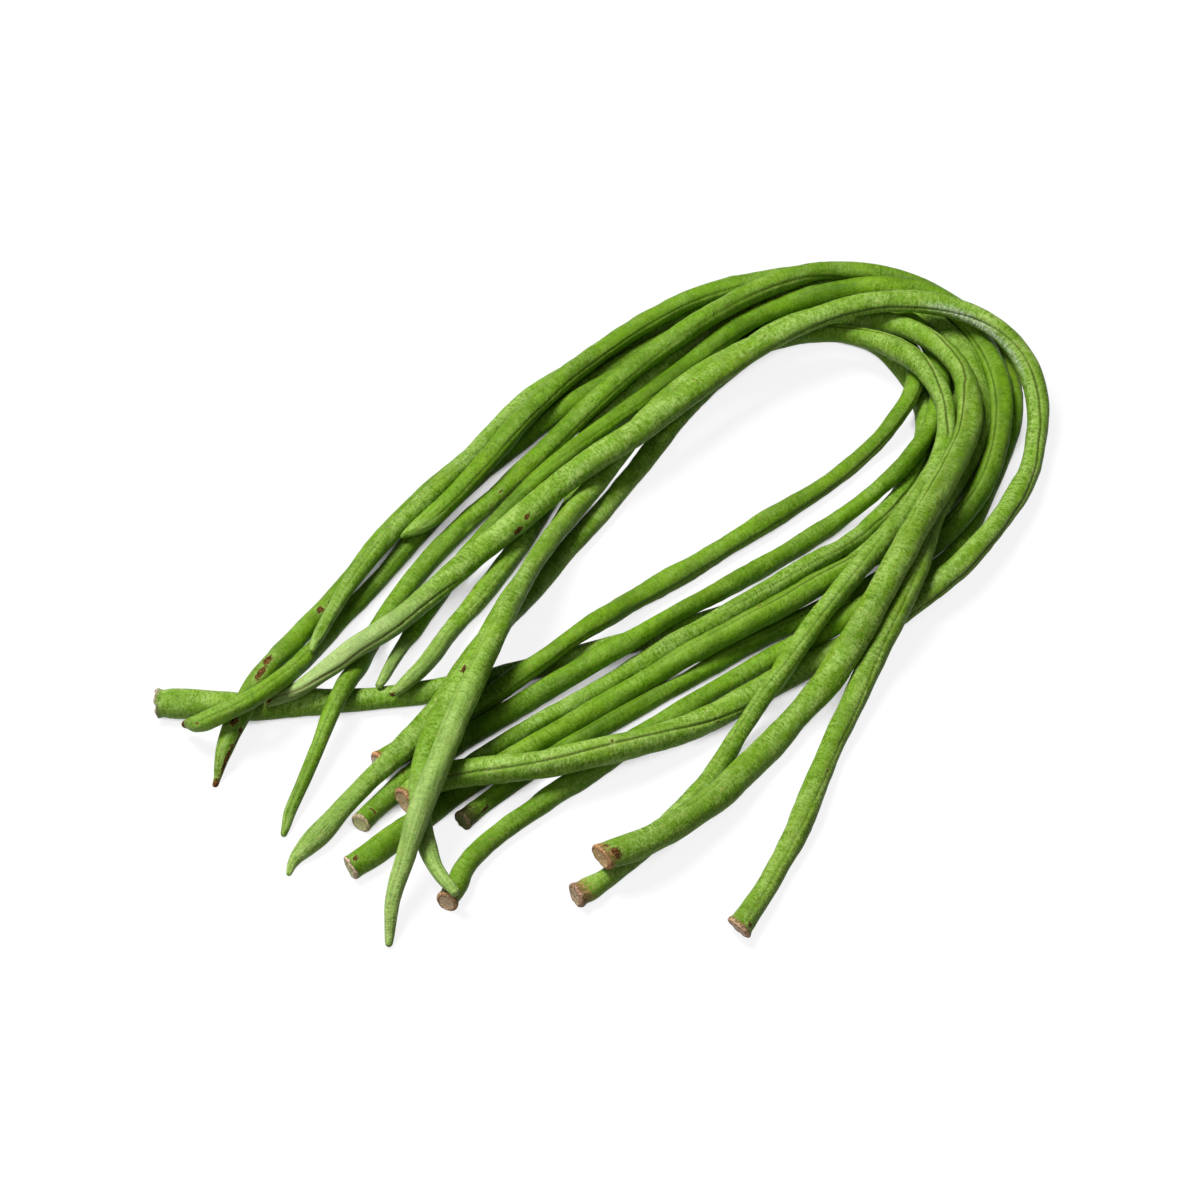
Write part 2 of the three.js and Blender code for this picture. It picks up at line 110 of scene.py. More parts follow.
PODS = {
    "pod_01": dict(
        body=[(0, .2, 9.4), (5, .2, 10.1), (14, 0, 9.9), (23, -.9, 9.6), (31, -1.6, 9.4), (40, -.9, 9.3),
              (52, .8, 8.9), (65, 1.3, 8), (75, 1, 7.8), (90, .3, 7.8), (226, .3, 7.6), (242, -.5, 7.4),
              (259, -1.1, 7.2), (276, -.5, 7.4), (292, .3, 7.6), (545, .3, 7.4), (570, .95, 6.5),
              (600, .4, 6.8)],
        tip=[(43, -.1, 6.1), (33, .1, 5.7), (23, .4, 5), (13, .3, 4.7), (8, 0, 4.3), (3.5, -.5, 3.1),
             (0, -.55, 1.8)],
        creases=[
            [(0, 1.7, .4), (.3, 1.5, .4), (.6, 1.7, .4), (.8, 1.2, .45), (.85, .2, .48), (.88, -.5, .54),
             (.91, -.55, .61), (.94, -.15, .61), (.97, 0, .54), (1, 0, .45)],
        ],
        dark_side=-1,
        reach=.6, knob=.4, cut_tilt=(.05, -.05), ragged=.65,
        face=(.66, .54, .40), rim=(.66, .54, .40), mark=(.38, .38, .20), stain=2.8,
        bloom_and_sheen=.62, deep=.3, bumps=.8,
    ),
    "pod_02": dict(
        body=[(0, -2.2, 8.4), (20, -2, 7.8), (35, -1, 7.4), (55, -.3, 7.2), (66, -.6, 6.5), (80, -.2, 6.4),
              (100, .4, 7.6), (110, .7, 7.4), (130, .45, 8.1), (140, .25, 7.5), (160, .45, 7.3),
              (170, .6, 7.8), (180, .45, 7.3), (200, .25, 6.6), (220, .6, 6.1), (235, .2, 6.2),
              (245, -.55, 6.3), (254, -1.1, 6.6), (270, -.6, 7.2), (530, 0, 7), (548, .8, 6.2),
              (562, .6, 6.3), (578, .3, 7)],
        tip=[(40, .2, 7.4), (24, .1, 7.4), (20, 0, 7.3), (11, .45, 5.8), (6.5, .5, 3.9), (3, .7, 2.5),
             (0, .7, 2)],
        creases=[
            [(0, -.5, .45), (.06, -.6, .61), (.2, -.62, .61), (.37, -.6, .8), (.45, -.9, .5),
             (.55, -1.4, .4), (.8, -1.5, .4), (1, -1.6, .3)],
        ],
        dark_side=-1,
        scars=[(.931, -.45, 2.6, 1.3, 1.1), (.94, -.15, 3, 1.1, 1.1), (.879, -.1, 1.9, 1.4, 1.1),
               (.871, .15, 1.1, 1, .8), (.904, .1, .7, .5, .6), (.967, -.1, 1.8, 1.4, 1.1),
               (.97, .72, 1.3, .9, .9), (.986, .75, 5, .9, 1), (.998, .3, 2, 1.6, 1), (.974, .9, 5, .6, .9),
               (.312, .89, .8, .5, .7)],
        reach=.3, knob=.2, cut_tilt=(.05, 0), ragged=.3,
        face=(.86, .74, .58), rim=(.68, .36, .16), mark=(.36, .14, .06), stain=3.0,
        bloom_and_sheen=.22, deep=.6, bumps=1.0,
    ),
    "pod_03": dict(
        body=[(0, 1.4, 6.9), (8, .8, 7), (15, .2, 7.6), (30, 0, 8), (60, .3, 7.7), (105, .1, 7.8),
              (110, -.5, 7), (120, -.95, 6.1), (130, -1.1, 6), (150, -.8, 6.6), (160, -.3, 7),
              (170, 0, 7.3), (180, .2, 7), (200, .1, 7.2), (210, -.3, 6.8), (220, -.9, 6.2),
              (230, -1.4, 6.2), (240, -1.8, 6.4), (257, -1.8, 6.4), (275, -1.2, 7), (470, -.9, 7),
              (490, -.6, 7.2), (515, -.3, 7.4), (540, 0, 7.6), (565, .9, 6.2), (590, .1, 6.4)],
        tip=[(42, 0, 6.5), (23, 1.3, 6.3), (12, 1.2, 6.5), (7, .55, 5.9), (3, -.7, 4.2), (0, -1.4, 2.5)],
        creases=[
            [(0, -1.5, .3), (.45, -1.6, .3), (.7, -1, .4), (.8, -.3, .54), (.86, -.3, .54), (.89, -.2, .54),
             (.93, -.3, .61), (.95, -.35, .61), (.97, -.2, .61), (1, -.3, .54)],
            [(.78, .4, 0), (.8, .3, .45), (.86, .3, .45), (.88, .25, 0)],
        ],
        dark_side=0,
        scars=[(.985, -.1, .8, .5, .8), (.998, 0, 1.6, 2, 1), (.031, .7, .7, .4, .8),
               (.006, 0, .5, 2.2, .7)],
        reach=1, knob=.12, cut_tilt=(.12, 0), ragged=.12,
        face=(.86, .84, .42), rim=(.76, .62, .36), mark=(.34, .30, .08), stain=1.4,
        bloom_and_sheen=.24, deep=.6, bumps=.9,
    ),
    "pod_04": dict(
        body=[(0, -.6, 5.7), (60, -.6, 5.7), (72, -.8, 6.4), (80, -.5, 6.9), (100, -.2, 7.2),
              (130, -.3, 7.2), (140, -.9, 7.4), (150, -1.3, 7.4), (160, -1.8, 7), (170, -2.3, 6.3),
              (180, -2, 6.9), (190, -1.1, 7), (220, -.6, 7), (250, -1.3, 7.6), (262, -2, 7.2),
              (275, -2.2, 7), (285, -1.6, 7), (290, -1.1, 7), (300, 0, 7), (420, 0, 7), (435, .5, 6.8),
              (450, 1.4, 6.4), (465, 2.1, 6.2), (480, 2.7, 5.8), (490, 2.3, 5.8), (500, 1.6, 6.1),
              (510, 1, 6.4), (530, .6, 6.6), (545, .2, 7), (560, 0, 7.2)],
        tip=[(22, .8, 6.1), (13, .35, 4.9), (7, .3, 4.3), (3, .4, 3.6), (0, .4, 2.8)],
        creases=[
            [(0, 1.6, .4), (.12, 1.2, .45), (.166, .73, .54), (.2, .33, .61), (.24, .1, .61),
             (.27, -.1, .61), (.32, -.2, .9), (.34, -.45, .8), (.38, -.9, .5), (.5, -1.5, .3),
             (.8, -1.3, .3), (1, -1.1, .3)],
        ],
        dark_side=-1,
        scars=[(.863, -.3, 1.7, 1, 1.1), (.208, -.76, .9, .5, .9)],
        reach=.3, knob=.2, cut_tilt=(.1, 0), ragged=.2,
        face=(.44, .37, .15), rim=(.34, .21, .09), mark=(.20, .12, .04), stain=2.0,
        bloom_and_sheen=.6, deep=.3, bumps=.8, blanch=.16, paling=60,
    ),
    "pod_05": dict(
        body=[(0, -.5, 8), (8, 0, 8.4), (14, .7, 8.4), (22, 1.4, 8.2), (37, 1.9, 7.6), (50, 1.6, 7.4),
              (65, .6, 7.4), (80, 0, 7.6), (160, 0, 7.8), (175, -.2, 8.2), (195, -.2, 8.2), (212, 0, 7.8),
              (425, .3, 7.1), (440, -.1, 7.6), (460, -.4, 8), (480, 0, 7.6)],
        tip=[(40, -.5, 7.4), (25, -.8, 7.4), (15, -1, 7.2), (9, -1.2, 6), (5, -1.5, 4.4), (2, -1.9, 2.6),
             (0, -2.2, 1.6)],
        creases=[
            [(0, .8, .4), (.15, .8, .45), (.22, .7, .61), (.32, .7, .9), (.4, 1, .5), (.55, .9, .3),
             (.68, .3, .45), (.73, .3, .61), (.8, .5, .61), (.87, .6, .61), (.9, .5, .61), (.95, .4, .54),
             (1, .3, .45)],
            [(.05, -.85, 0), (.08, -.85, .45), (.3, -.85, .6), (.34, -.85, 0)],
        ],
        dark_side=1,
        scars=[(.27, .85, 1, .5, .8), (.003, .5, 1, 1, 1)],
        reach=1, knob=.1, cut_tilt=(-.1, 0), ragged=.16,
        face=(.74, .80, .42), rim=(.80, .62, .42), mark=(.34, .36, .10), stain=1.6,
        bloom_and_sheen=.25, deep=.55, bumps=.9,
    ),
    "pod_06": dict(
        body=[(0, .8, 6.8), (4, .8, 6.6), (10, .8, 6), (20, .6, 6.2), (60, .8, 6.4), (85, 1, 5.8),
              (100, .7, 6.2), (120, .3, 7), (140, 0, 7.5), (200, 0, 8), (245, 0, 8), (268, .4, 8.7),
              (292, .4, 8.7), (320, 0, 8)],
        tip=[(42, .4, 7.2), (30, .6, 6), (24, .5, 5), (13, .35, 4.3), (6, .25, 3.7), (3, .1, 3.1),
             (0, -.1, 2.4)],
        creases=[
            [(0, .6, .45), (.07, .7, .54), (.15, .95, .48), (.18, .6, .54), (.2, .2, .54), (.24, .5, .54),
             (.3, .6, .6), (.34, .6, .8), (.48, .6, .8), (.58, 1, .4), (.65, .8, .4), (.7, .5, .54),
             (.8, 0, .54), (.84, -.6, .48), (.88, -.6, .48), (.92, 0, .45), (.95, .4, .54), (1, 0, .48)],
            [(.07, -.5, 0), (.1, -.5, .45), (.22, -.9, .45), (.3, -1.1, .4), (.53, -.9, .5), (.6, -.9, .5),
             (.64, -1, 0)],
        ],
        dark_side=-1,
        scars=[(.012, -.5, 2.4, .8, .9), (.006, .6, 1, .8, .7)],
        reach=.8, knob=.15, cut_tilt=(.1, 0), ragged=.3,
        # this stem end lies under other pods: its dark face, rim and mark, and its deep green below, are
        # partly its own colour and partly painted shade
        face=(.24, .27, .09), rim=(.32, .24, .14), mark=(.09, .11, .026), stain=8.0,
        bloom_and_sheen=.16, deep=.85, bumps=.9, blanch=.25, paling=30,
    ),
    "pod_07": dict(
        body=[(0, 0, 7.2), (5, -.1, 7.9), (12, .5, 7.2), (22, 0, 6.6), (32, -1, 6.5), (42, -1.3, 7),
              (52, -1, 7.6), (65, -.9, 7.8), (80, -.4, 7.8), (100, .5, 6.8), (145, .5, 6.8), (158, 0, 7.7),
              (174, 0, 7.7), (200, .6, 6.6), (250, .8, 6.4), (280, .5, 7), (300, -.2, 8), (325, -.6, 8.8),
              (342, -.2, 7.8), (352, .5, 6.8), (370, .9, 6.2), (385, .8, 6.2), (400, .6, 6.3), (412, .2, 7),
              (425, 0, 7.8), (555, 0, 7.6), (570, .4, 7.1), (585, .1, 7.6)],
        tip=[(53, 0, 6.2), (43, 0, 5.6), (34, .2, 4.9), (24, .1, 4.6), (15, -.35, 4.3), (9, -.6, 4.1),
             (3.5, -.1, 3.1), (0, .2, 1.9)],
        creases=[
            [(0, 0, .2), (.02, 0, .24), (.1, -.1, .22), (.2, -.6, .24), (.35, -1.3, .3), (.5, -1.2, .3),
             (.7, -1.4, .3), (.85, -1.1, .3), (.9, -.3, .45), (.93, -.1, .61), (.96, -.3, .61),
             (.99, -.4, .61), (1, -.4, .54)],
            [(.53, 1.2, 0), (.55, .85, .8), (.57, .4, .9), (.6, .2, .9), (.64, .3, .61), (.68, .5, .61),
             (.72, .6, .61), (.76, .8, .54), (.78, .7, .45), (.8, .4, .54), (.82, .7, .54), (.84, .9, .48),
             (.87, 1.1, 0)],
            [(0, .25, .4), (.02, .25, .45), (.1, .15, .45), (.14, .1, 0)],
        ],
        dark_side=0,
        scars=[(.775, 0, 1.3, .8, .7), (.785, .3, .9, .5, .7)],
        reach=2.2, knob=.3, cut_tilt=(.1, .1), ragged=.2,
        face=(.82, .62, .40), rim=(.64, .38, .20), mark=(.36, .24, .10), stain=3.4,
        bloom_and_sheen=.28, deep=.5, bumps=1.3,
    ),
    "pod_08": dict(
        body=[(0, 0, 9.4), (120, 0, 9.2), (150, .3, 8.6), (190, .8, 8), (210, .2, 8.4), (220, -.5, 8.2),
              (250, -.5, 7.8), (260, -.6, 8.4), (275, -.6, 7.8), (290, .4, 7.9), (300, .5, 8.4),
              (320, .45, 8.6), (340, .6, 8), (355, .7, 7.8), (370, .4, 8.3), (430, -.1, 7.9),
              (450, 0, 8.4)],
        tip=[(50, .3, 8), (39, .4, 7.4), (29, .7, 7.2), (20, -.4, 6.3), (14, -1.2, 5.7), (9, -1.9, 5.1),
             (4, -2.4, 4.2), (1.5, -2.6, 3.4), (0, -2.7, 2.6)],
        creases=[
            [(0, 0, .6), (.03, 0, .9), (.06, .2, .9), (.09, .42, .9), (.12, .47, .9), (.14, .3, .9),
             (.16, -.15, .9), (.18, -.45, .8), (.22, -.7, .4), (.29, -.6, .8), (.33, -.7, .9),
             (.36, -.65, .9), (.39, -.5, .9), (.42, -.2, .9), (.45, 0, .9), (.49, 0, .9), (.52, .4, .9),
             (.55, .65, .9), (.58, .65, .9), (.65, .75, .7), (.75, .9, .6), (.86, 1, .5), (.88, .6, .8),
             (.905, .4, .9), (.93, .5, .9), (.957, .6, .9), (.97, .4, .9), (.985, 0, .9), (1, -.6, .7)],
        ],
        dark_side=0,
        scars=[(.106, .57, .6, 1.1, .9), (.163, -.41, 1, .6, .8), (.646, -.49, .9, .6, .8),
               (.698, -.74, 1, .5, .8), (.77, .7, .6, .4, .7), (.822, .31, 1.5, .9, 1.1),
               (.8305, .69, 2.2, 1, 1.1), (.92, .45, 4, .4, .8), (.998, -.3, 1.6, 1, .8)],
        wax_highlight=[(.54, .35, 6, 1.3, .6), (.53, .5, 8, 1.5, .9), (.519, .7, 9, 1.5, 1), (.504, .75, 9, 1.4, .8),
             (.488, .75, 8, 1.2, .6)],
        shade=[(.84, .95, 0), (.87, 1, .7), (.91, .9, .9), (.96, 1, .9), (.98, .8, .9), (1, .2, .7)],
        blanch=.44, paling=85,
        reach=.4, knob=.25, cut_tilt=(.1, .15), ragged=.3,
        face=(.86, .62, .38), rim=(.62, .34, .18), mark=(.30, .15, .05), stain=3.2,
        bloom_and_sheen=.78, deep=.15, bumps=.8,
    ),
    "pod_09": dict(
        body=[(0, -.5, 8), (5, -.4, 7.8), (11, -.1, 6.7), (19, .3, 6.6), (42, .3, 7), (55, -.5, 7),
              (62, -.7, 6.8), (76, .2, 6.8), (85, .7, 5.9), (97, .8, 5.8), (104, .4, 6.6), (112, .1, 7.4),
              (140, -.4, 7.2), (160, 0, 7.4), (230, -.2, 7.2), (255, -.2, 7.4), (275, -.5, 8.2),
              (290, -.5, 7.5), (305, -.4, 7), (385, .1, 7.4), (400, .6, 7.8), (415, 1.1, 8),
              (430, 1.2, 7.8), (445, 1, 7.2), (460, .6, 6.7), (490, .5, 6.6), (510, 0, 7.2)],
        tip=[(40, .3, 7.4), (32, .5, 6.6), (22, .2, 6), (12, -.3, 5), (6.4, -.2, 3.9), (2.4, -.2, 3),
             (0, -.1, 2)],
        creases=[
            [(0, .1, .45), (.09, .2, .54), (.13, .55, .61), (.16, .55, .61), (.175, .2, .61), (.2, 0, .61),
             (.24, 0, .61), (.27, .3, .61), (.29, .7, .54), (.328, .85, .7), (.338, .8, 0), (.36, 0, 0),
             (.368, -.15, 1), (.379, .15, 1), (.39, .1, 1), (.4, 0, 1), (.408, -.25, 1), (.42, -.65, 1),
             (.431, -.85, 1), (.458, -.8, .9), (.48, -.6, .8), (.52, -.7, .4), (.65, -.9, .3),
             (.77, -.65, .5), (.84, -.75, .56), (.9, -.75, .56), (.93, -.4, .56), (.96, -.2, .56),
             (1, -.2, .48)],
        ],
        dark_side=0,
        scars=[(.163, .3, .35, 1.3, .8), (.165, -.3, .35, .9, .7)],
        reach=.6, knob=.35, cut_tilt=(.05, 0), ragged=.3,
        face=(.64, .48, .30), rim=(.50, .31, .20), mark=(.40, .26, .09), stain=6.5,
        bloom_and_sheen=.6, deep=.4, bumps=.9, blanch=.2, paling=120,
    ),
    "pod_10": dict(
        body=[(0, -.4, 8.8), (10, -.4, 9.4), (17, -.3, 8.8), (26, .2, 9.3), (37, .5, 9.1), (51, .4, 9.7),
              (65, .9, 9.3), (80, .7, 9.2), (92, .6, 8.3), (105, -.1, 9.5), (116, -.4, 9.9),
              (128, -.3, 9.8), (160, 0, 9.2), (205, 0, 9.2), (250, 0, 9.2), (255, -.6, 8.6),
              (265, -1.4, 7.6), (280, -1.6, 7.7), (290, -1.7, 7.6), (300, -1.3, 7.8), (315, -.5, 8.6),
              (350, 0, 9), (380, .6, 8.8), (400, .6, 8), (420, .55, 7.4), (440, .3, 7.1), (455, .3, 7),
              (475, .2, 7), (495, -.2, 7.8), (510, -.8, 7.6), (525, -.4, 8.2)],
        tip=[(60, .6, 8.4), (47, 1.1, 6.6), (37, 1, 6.4), (27, .5, 6.7), (17, -.4, 7.4), (12, -1, 6.6),
             (7.4, -1.1, 4.8), (3.9, -.5, 3.3), (1.5, .5, 2.2), (0, 1.2, 1.6)],
        creases=[
            [(0, .7, .45), (.03, .75, .54), (.08, .75, .61), (.1, .85, .54), (.15, 1.1, .4), (.24, 1, .45),
             (.27, .75, .61), (.3, .8, .9), (.35, .85, .9), (.373, .8, 1), (.385, .55, 1), (.391, .35, 1),
             (.398, .15, 1), (.406, -.1, 1), (.415, -.3, 1), (.428, -.53, 1), (.441, -.86, .9),
             (.48, -1.3, .4), (.7, -1.5, .3), (1, -1.4, .3)],
        ],
        dark_side=-1,
        scars=[(.005, .05, 2.3, 2.1, 1), (.003, .75, 1.3, 1, .8)],
        reach=.6, knob=.12, cut_tilt=(.26, -.3), ragged=.25,
        face=(.88, .60, .32), rim=(.62, .34, .16), mark=(.44, .27, .09), stain=4.0,
        bloom_and_sheen=.6, deep=.4, bumps=.9, blanch=.12, paling=60,
    ),
    "pod_11": dict(
        body=[(0, .2, 8.7), (7, -.1, 7.9), (18, -.2, 7.2), (28, 0, 7.1), (39, -.1, 7.9), (50, 0, 8.7),
              (61, .1, 8.2), (73, .1, 7.4), (90, -.2, 8.3), (100, -.4, 8.6), (115, -.3, 8.3),
              (130, -.1, 8.1), (200, 0, 8), (235, -.5, 8.8), (265, -.5, 8.8), (290, 0, 8)],
        tip=[(62, -.3, 8), (55, -.5, 7.6), (45, -1.1, 6.5), (35, -1, 6.4), (25, -.1, 6.5), (15, .5, 5.9),
             (9.5, .35, 5.2), (5, 0, 4.4), (2, -.5, 3.1), (0, -1, 2.1)],
        creases=[
            [(0, 0, .45), (.03, 0, .61), (.06, 0, .61), (.09, -.2, .61), (.12, -.5, .61), (.15, -.5, .61),
             (.18, -.35, .61), (.21, -.07, .61), (.24, 0, .61), (.27, -.1, .61), (.3, -.45, .8),
             (.36, -.6, .5), (.48, -.6, .5), (.6, -.5, .3), (.75, -.2, .4), (.8, 0, .54), (.97, 0, .54),
             (1, 0, .45)],
        ],
        dark_side=1,
        scars=[(.112, -.42, .8, .6, .9), (.003, -.5, 1.1, .9, .9), (1, .4, 1.6, 1.4, .9)],
        reach=1, knob=.3, cut_tilt=(-.45, .1), ragged=.2,
        face=(.86, .68, .52), rim=(.70, .44, .27), mark=(.38, .24, .1), stain=2.4,
        bloom_and_sheen=.62, deep=.35, bumps=.8, blanch=.14, paling=45,
    ),
}

# ---- from the CAD rings to a smooth centreline ----

CAD_SIDES = 10          # corners in each ring of a CAD pod


def cad_rings(node):
    """Centres and radii of the rings that make up a CAD pod, in millimetres, stem end first."""
    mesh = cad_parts[node].data
    raw = np.zeros(len(mesh.vertices) * 3)
    mesh.vertices.foreach_get("co", raw)
    points, index = np.unique(np.round(raw.reshape(-1, 3) / MM, 4), axis=0, return_inverse=True)
    ends = np.zeros(len(mesh.edges) * 2, dtype=int)
    mesh.edges.foreach_get("vertices", ends)
    beside = [set() for _ in points]
    for a, b in index.reshape(-1)[ends.reshape(-1, 2)]:
        beside[a].add(b)
        beside[b].add(a)
        beside[a].discard(a)
        beside[b].discard(b)
    poles = [i for i, near in enumerate(beside) if len(near) == CAD_SIDES]
    if len(poles) != 2:
        raise RuntimeError(f"{node}: expected two end points and found {len(poles)}")
    level = {poles[0]: 0}
    shell = [poles[0]]
    rings = []
    while shell:
        onward = {b for a in shell for b in beside[a]} - set(level)
        for b in onward:
            level[b] = len(rings) + 1
        shell = sorted(onward)
        if shell:
            rings.append(points[shell])
    centres = [points[poles[0]]] + [ring.mean(axis=0) for ring in rings]
    radii = [0.0] + [np.linalg.norm(ring - ring.mean(axis=0), axis=1).mean() for ring in rings]
    centres, radii = np.array(centres), np.array(radii)
    if radii[1] < radii[-2]:
        centres, radii = centres[::-1], radii[::-1]
    return centres[1:], radii[1:]


def spline(knots, values, at):
    """Natural cubic spline through the values at the knots."""
    count = len(knots)
    gap = np.diff(knots)
    slope = np.diff(values, axis=0) / gap[:, None]
    system = np.eye(count)
    right = np.zeros_like(values)
    for i in range(1, count - 1):
        system[i, i - 1:i + 2] = gap[i - 1], 2 * (gap[i - 1] + gap[i]), gap[i]
        right[i] = 6 * (slope[i] - slope[i - 1])
    bend = np.linalg.solve(system, right)
    k = np.clip(np.searchsorted(knots, at) - 1, 0, count - 2)
    b = ((at - knots[k]) / gap[k])[:, None]
    a = 1 - b
    curve = (a ** 3 - a) * bend[k] + (b ** 3 - b) * bend[k + 1]
    return a * values[k] + b * values[k + 1] + curve * (gap[k] ** 2)[:, None] / 6


# ---- the skin ----

SIDES = 52              # columns round a pod
CROWDING = .55          # how far the columns crowd towards the suture and its twin
RING_STEP = .95         # between rings along the body
FINE_STEP = .35         # between rings near the ends
FINE_AT_STEM = 6.0
FINE_AT_TIP = 12.0
CAP_LENGTH = .9         # rounding at the very end of the tip
CAP_RINGS = 6
BLUNTNESS = .02         # share of the thickness, squared, that the last ring keeps
OVAL = .03

CAD_TAPER = 16          # the CAD's thickness is read only as far as this from its tapered tip
OPEN_STRETCH = 60       # a longer stretch with no set thickness keeps the CAD's
EASE = 25               # over this length the pod comes back to it
LYING = .4              # a pod no higher than this lies on the table
LYING_FADE = 2          # and one this much higher still is clear of it

RIM_ROUNDING = .8
RIM_PLACE = 1.0         # the corky rim stands out this far behind the cut
RIM_WIDTH = .9
RIM_SHOWN = 1.1         # and has its own colour over this length
NECK_PLACE = 3          # behind the rim the pod is a little thinner
NECK_WIDTH = 1.2
SLANT_FADE = 5          # the cut's slant and its raggedness die out over these lengths
RAGGED_FADE = 2
NOTCHES = (2, 3, 5, 8)  # waves round the ragged cut
# rings of the cut's face: share of the way to the rim, and how far each shows the face's colour
FACE_RINGS = ((.2, 1), (.42, 1), (.64, 1), (.82, 1), (.94, .6))
FACE_DISH = .3
FACE_BUMPS = .06
FACE_AHEAD = 5          # the face takes its patterns from this far ahead of the stem end

PATH_ROUNDING = 7       # millimetres over which the listed creases blend
TWIN_STRENGTH = .12     # the suture opposite the main one
CREASE_WIDTH = .44
CREASE_DEPTH = .4
CREASE_BREAKS = 9       # length of the stretches by which a crease gets stronger and weaker
CREASE_CHANGE = .13     # and by how much it does
CREASE_FADE = 5         # it fades out over this length at the tip
VALLEY_WIDTH = 1.25     # the wide shallow valley that the crease lies in
VALLEY_DEPTH = .28
LIP_PLACE = 1.0         # from the crease's line to the raised lip beside it
LIP_WIDTH = .5
LIP_HEIGHT = .07
LOBE_PLACE = 1.9
LOBE_WIDTH = 1.7
SHADE_WIDTH = 1.5
SCAR_DENT = .12
PALING = 32             # the tip is paler over this length

SEED_SPACING = (11.0, 17.0)
SEED_HEIGHT = .2
SEED_LENGTH = 4.2
FIRST_SEED = 8          # from the stem end
LAST_SEED = 25          # from the tip
# smooth swellings: wavelength along the pod, turns round it, height
SWELLS = ((71, 1, .09), (43, 2, .09), (29, 1, .05), (19, 3, .04))
# uneven bumps: spacing along the pod, cells round it, height
WRINKLES = ((13, 5, .085), (6.5, 7, .06), (3.4, 9, .05), (2.1, 8, .04))


def angle_of(offset):
    """Angle round the pod from the viewer's side, for an offset as the viewer sees it."""
    if abs(offset) <= 1:
        return math.asin(offset)
    return offset * math.pi / 2


def wrapped(angle):
    """The same angle, between minus and plus half a turn."""
    return (angle + math.pi) % (2 * math.pi) - math.pi


def bell(distance, width):
    """1 at no distance, falling smoothly to 0."""
    return np.exp(-(distance / width) ** 2)


def eased(value):
    """Smooth step from 0 to 1."""
    value = np.clip(value, 0, 1)
    return value * value * (3 - 2 * value)


def gentle(places, values, at):
    """Cubic through the values that goes past none of them."""
    places, values = np.array(places, dtype=float), np.array(values, dtype=float)
    gap = np.diff(places)
    slope = np.diff(values) / gap
    lean = np.concatenate([[slope[0]], np.zeros(len(gap) - 1), [slope[-1]]])
    for i in range(1, len(gap)):
        if slope[i - 1] * slope[i] > 0:
            lean[i] = 2 * slope[i - 1] * slope[i] / (slope[i - 1] + slope[i])
    k = np.clip(np.searchsorted(places, at) - 1, 0, len(gap) - 1)
    t = np.clip((at - places[k]) / gap[k], 0, 1)
    rise = t * t * (3 - 2 * t)
    return (values[k] * (1 - rise) + values[k + 1] * rise
            + gap[k] * (lean[k] * t * (1 - t) ** 2 - lean[k + 1] * t * t * (1 - t)))


def along_path(path, stations, length):
    """Angle and strength of a crease at each station, with the corners between set points rounded."""
    shares, offsets, strengths = np.array(path).T
    grid = np.arange(-4, length + 1)
    kernel = np.hanning(PATH_ROUNDING + 2)[1:-1]
    kernel /= kernel.sum()
    result = []
    for values in ([angle_of(o) for o in offsets], strengths):
        fine = np.interp(grid / length, shares, values)
        outside = fine * 0 if values is strengths else fine
        before = (grid / length < shares[0]) & (shares[0] > 0)
        fine = np.where(before | (grid / length > shares[-1]), outside, fine)
        padded = np.pad(fine, PATH_ROUNDING // 2, mode="edge")
        result.append(np.interp(stations, grid, np.convolve(padded, kernel, mode="valid")))
    return result


def bumpy(rng, stations, theta, spacing, cells):
    """Uneven bumps over a pod laid out straight, each about spacing long and a share of the girth wide."""
    u = (stations - stations[0]) / spacing + rng.uniform(0, .5)
    v = theta / (2 * math.pi) * cells
    table = rng.normal(0, 1, size=(int(u[-1]) + 2, cells))
    i, j = u.astype(int), v.astype(int)
    a, b = eased(u - i)[:, None], eased(v - j)[None, :]
    j, across = j % cells, (j + 1) % cells
    near = table[i][:, j] * (1 - b) + table[i][:, across] * b
    far = table[i + 1][:, j] * (1 - b) + table[i + 1][:, across] * b
    return near * (1 - a) + far * a


def stations_of(length, reach):
    """Places of the rings along a pod: close together at both ends."""
    stem = np.arange(-reach, FINE_AT_STEM - FINE_STEP / 2, FINE_STEP)
    body = np.arange(FINE_AT_STEM, length - FINE_AT_TIP - RING_STEP / 2, RING_STEP)
    tip = np.arange(length - FINE_AT_TIP, length - CAP_LENGTH - FINE_STEP / 2, FINE_STEP)
    cap = length - CAP_LENGTH * (1 - np.sin(np.linspace(0, 1, CAP_RINGS + 1)[:-1] * math.pi / 2))
    return np.concatenate([stem, body, tip, cap])


def own_shape(look, length, stations, cad_radius):
    """Shift to the left and radius at each station: as listed, and the CAD's where nothing is set."""
    wanted = look["body"] + [(length - back, shift, size) for back, shift, size in look["tip"]]
    points = []
    for at, shift, size in wanted:
        if points and at - points[-1][0] > OPEN_STRETCH:
            for calm in (points[-1][0] + EASE, at - EASE):
                points.append((calm, 0, 2 * np.interp(calm, stations, cad_radius)))
        points.append((at, shift, size))
    places, shifts, sizes = zip(*points)
    return gentle(places, shifts, stations), gentle(places, sizes, stations) / 2


def unit(rows):
    """The rows' vectors, made 1 long."""
    return rows / np.linalg.norm(rows, axis=1)[:, None]


def axes_along(middle, stations):
    """Unit vectors along the pod, to its left and towards the viewer, at each station."""
    viewer = np.array(direction(CAMERA_AZIMUTH, CAMERA_ELEVATION))
    travel = unit(np.gradient(middle, stations, axis=0))
    left = unit(np.cross(viewer, travel))
    return travel, left, np.cross(travel, left)


